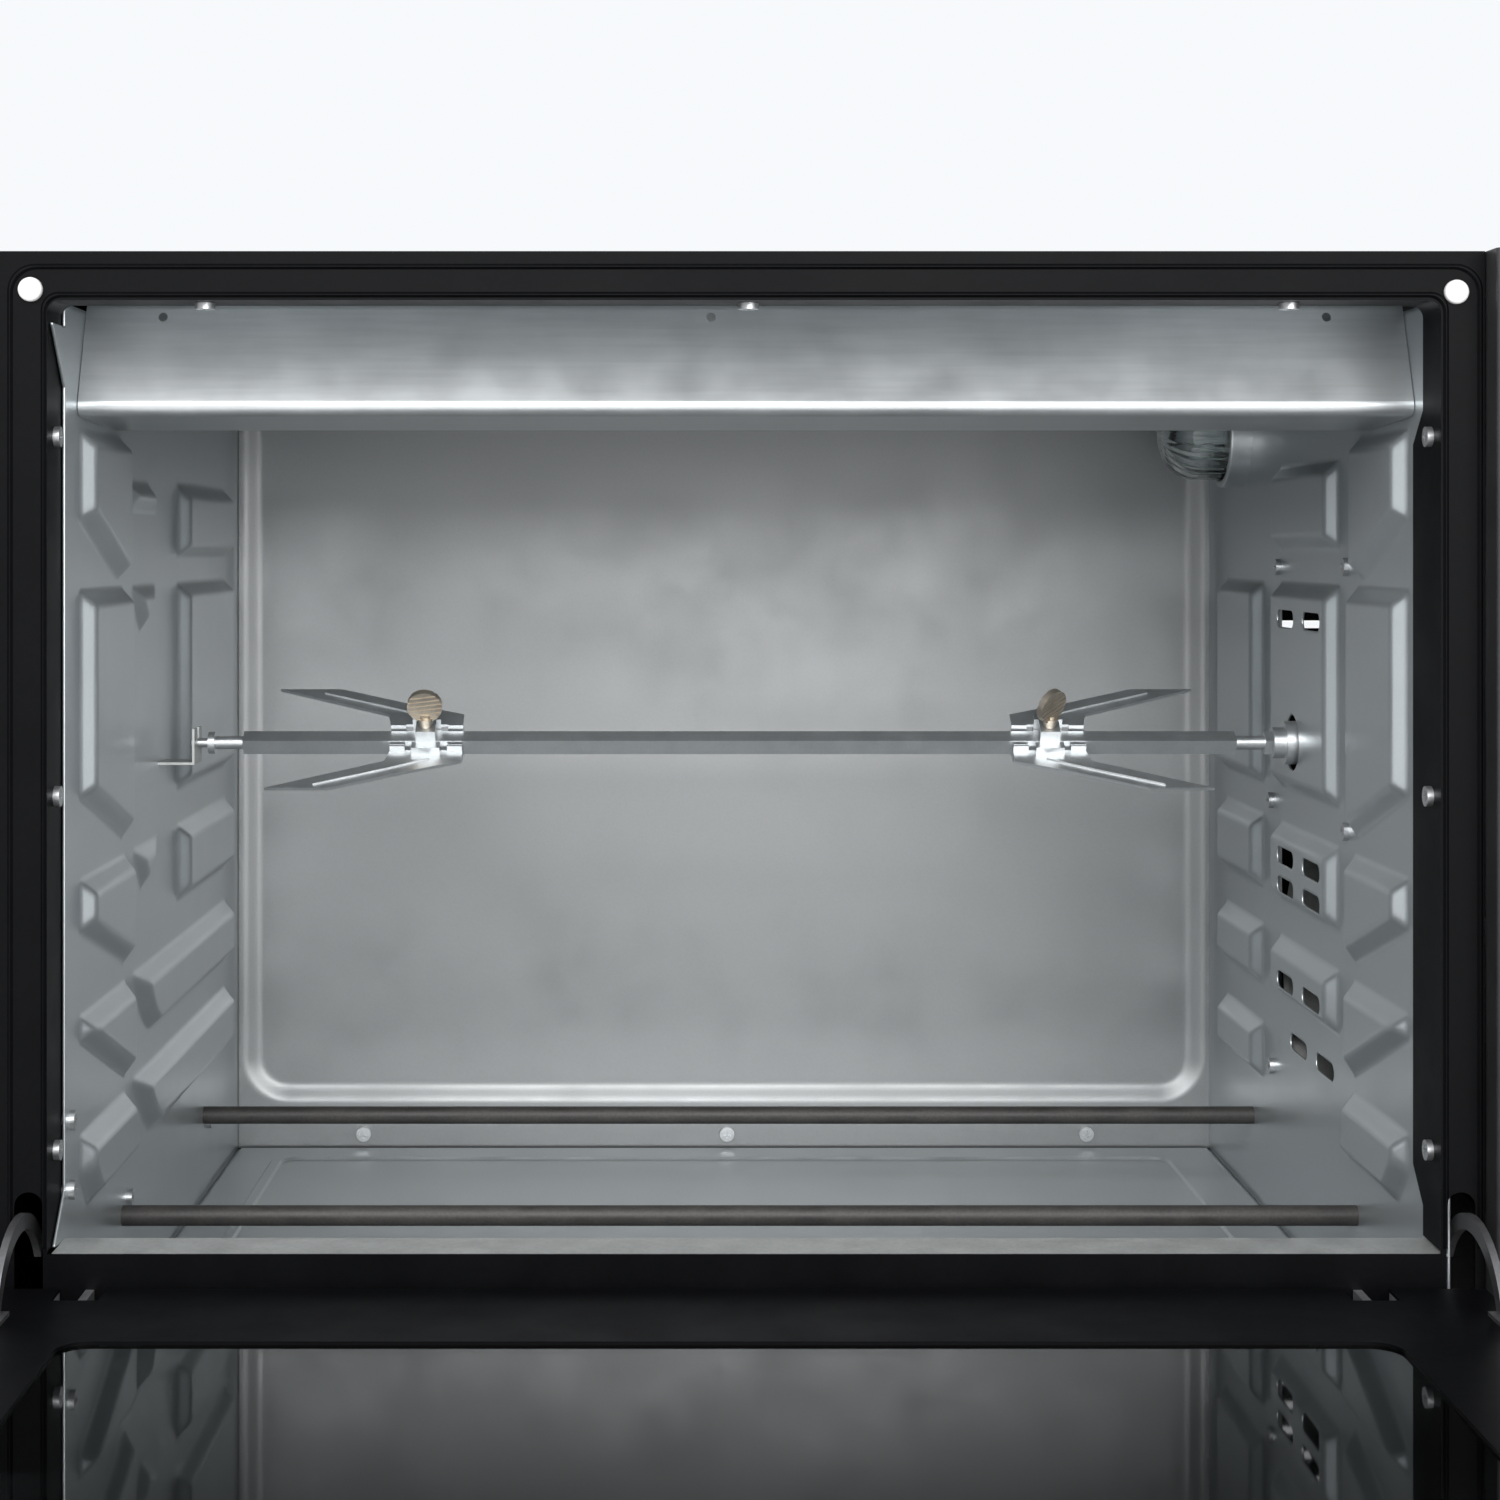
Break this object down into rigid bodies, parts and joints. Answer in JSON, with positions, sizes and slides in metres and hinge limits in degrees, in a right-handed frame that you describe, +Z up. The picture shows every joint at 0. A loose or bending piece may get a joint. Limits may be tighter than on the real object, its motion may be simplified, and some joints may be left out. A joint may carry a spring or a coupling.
{
  "type": "rotisserie oven",
  "caption": "Countertop rotisserie oven with embossed steel cavity, drop-down glass door, spit with forks, tube heaters, lamp and slide-out crumb tray",
  "frame": {"origin": "bottom centre of the whole oven's box, door lying open", "axes": "+X right seen from the door, +Y from the door to the back, +Z up"},
  "size_m": [0.651, 0.84, 0.4543],
  "materials": {
    "cavity_steel": "aluminised steel, semi-gloss",
    "baffle_steel": "aluminised steel, brushed across",
    "galvanised": "galvanised sheet, matt",
    "black_enamel": "black enamel, gloss",
    "element_sheath": "oxidised sheath, matt",
    "ceramic_bush": "unglazed",
    "screw_steel": "zinc plated",
    "arm_steel": "dark zinc",
    "spit_chrome": "chrome plated",
    "nickel": "nickel plated brass",
    "lamp_glass": "clear ribbed glass",
    "door_glass": "tinted, gloss",
    "handle_steel": "brushed",
    "black_plastic": "fine texture",
    "white_bumper": "soft matt",
    "amber_lens": "clear moulded",
    "foot_rubber": "matt",
    "motor_steel": "cast"
  },
  "bodies": {
    "root": {"back_wall": "cavity_steel", "base_front_rail": "black_enamel", "base_panel": "galvanised", "cavity_rails": "galvanised", "ceiling_panel": "cavity_steel", "control_panel": "black_plastic", "cord_gland": "black_plastic", "element_bushes": "ceramic_bush", "fan_housing": "galvanised", "fan_motor": "motor_steel", "feet": "foot_rubber", "floor_pan": "cavity_steel", "frame_bumpers": "white_bumper", "front_frame": "black_enamel", "front_sill": "galvanised", "function_switch": "black_plastic", "hinge_brackets": "screw_steel", "hinge_pins": "screw_steel", "indicator_lens": "amber_lens", "lamp_bulb": "lamp_glass", "lamp_glass": "lamp_glass", "lamp_holder": "ceramic_bush", "lamp_ring": "spit_chrome", "left_side_panel": "black_enamel", "left_wall": "cavity_steel", "lower_front_element": "element_sheath", "lower_rear_element": "element_sheath", "pan_screws": "screw_steel", "panel_inserts": "handle_steel", "rear_cover": "black_enamel", "right_side_panel": "black_enamel", "right_wall": "cavity_steel", "spit_bracket": "galvanised", "spit_motor": "galvanised", "thermostat": "black_plastic", "timer_unit": "black_plastic", "top_baffle": "baffle_steel", "top_cover": "black_enamel", "upper_front_element": "element_sheath", "upper_rear_element": "element_sheath"},
    "door": {"door_frame": "black_enamel", "door_outer_glass": "door_glass", "door_inner_glass": "door_glass", "door_side_rails": "screw_steel", "door_hinge_bushes": "screw_steel", "door_hinge_arms": "arm_steel", "door_handle": "handle_steel", "handle_posts": "handle_steel", "door_screws": "screw_steel"},
    "spit": {"drive_socket": "spit_chrome", "spit_rod": "spit_chrome"},
    "left_fork": {"fork_left": "spit_chrome"},
    "right_fork": {"fork_right": "spit_chrome"},
    "left_thumb_screw": {"thumb_screw_left": "nickel"},
    "right_thumb_screw": {"thumb_screw_right": "nickel"},
    "fan": {"fan_blade": "galvanised"},
    "temperature_dial": {"temperature_knob": "black_plastic"},
    "function_dial": {"function_knob": "black_plastic"},
    "timer_dial": {"timer_knob": "black_plastic"},
    "tray": {"crumb_tray": "cavity_steel"}
  },
  "joints": [
    {"name": "door_hinge", "type": "hinge", "parent": "root", "child": "door", "pos_m": [-0.0505, -0.052, 0.084], "axis": [-1, 0, 0], "range_deg": [0, 90]},
    {"name": "spit_spin", "type": "hinge", "parent": "root", "child": "spit", "pos_m": [-0.0505, 0.166, 0.2675], "axis": [1, 0, 0], "continuous": true},
    {"name": "fork_left_slide", "type": "slide", "parent": "spit", "child": "left_fork", "axis": [1, 0, 0], "range_m": [-0.02, 0.09]},
    {"name": "fork_right_slide", "type": "slide", "parent": "spit", "child": "right_fork", "axis": [-1, 0, 0], "range_m": [-0.02, 0.09]},
    {"name": "thumb_screw_left_turn", "type": "hinge", "parent": "left_fork", "child": "left_thumb_screw", "pos_m": [-0.1815, 0.166, 0.2675], "axis": [0, -0.5299, 0.848], "range_deg": [0, 450]},
    {"name": "thumb_screw_right_turn", "type": "hinge", "parent": "right_fork", "child": "right_thumb_screw", "pos_m": [0.0833, 0.166, 0.2675], "axis": [0, -0.5299, 0.848], "range_deg": [0, 450]},
    {"name": "fan_spin", "type": "hinge", "parent": "root", "child": "fan", "pos_m": [-0.0505, 0.156, 0.168], "axis": [1, 0, 0], "continuous": true},
    {"name": "temperature_turn", "type": "hinge", "parent": "root", "child": "temperature_dial", "pos_m": [0.2661, -0.05, 0.372], "axis": [0, 1, 0], "range_deg": [0, 270]},
    {"name": "function_turn", "type": "hinge", "parent": "root", "child": "function_dial", "pos_m": [0.2661, -0.05, 0.292], "axis": [0, 1, 0], "range_deg": [0, 180]},
    {"name": "timer_turn", "type": "hinge", "parent": "root", "child": "timer_dial", "pos_m": [0.2661, -0.05, 0.212], "axis": [0, 1, 0], "range_deg": [0, 300]},
    {"name": "tray_slide", "type": "slide", "parent": "root", "child": "tray", "axis": [0, -1, 0], "range_m": [0, 0.3]}
  ]
}
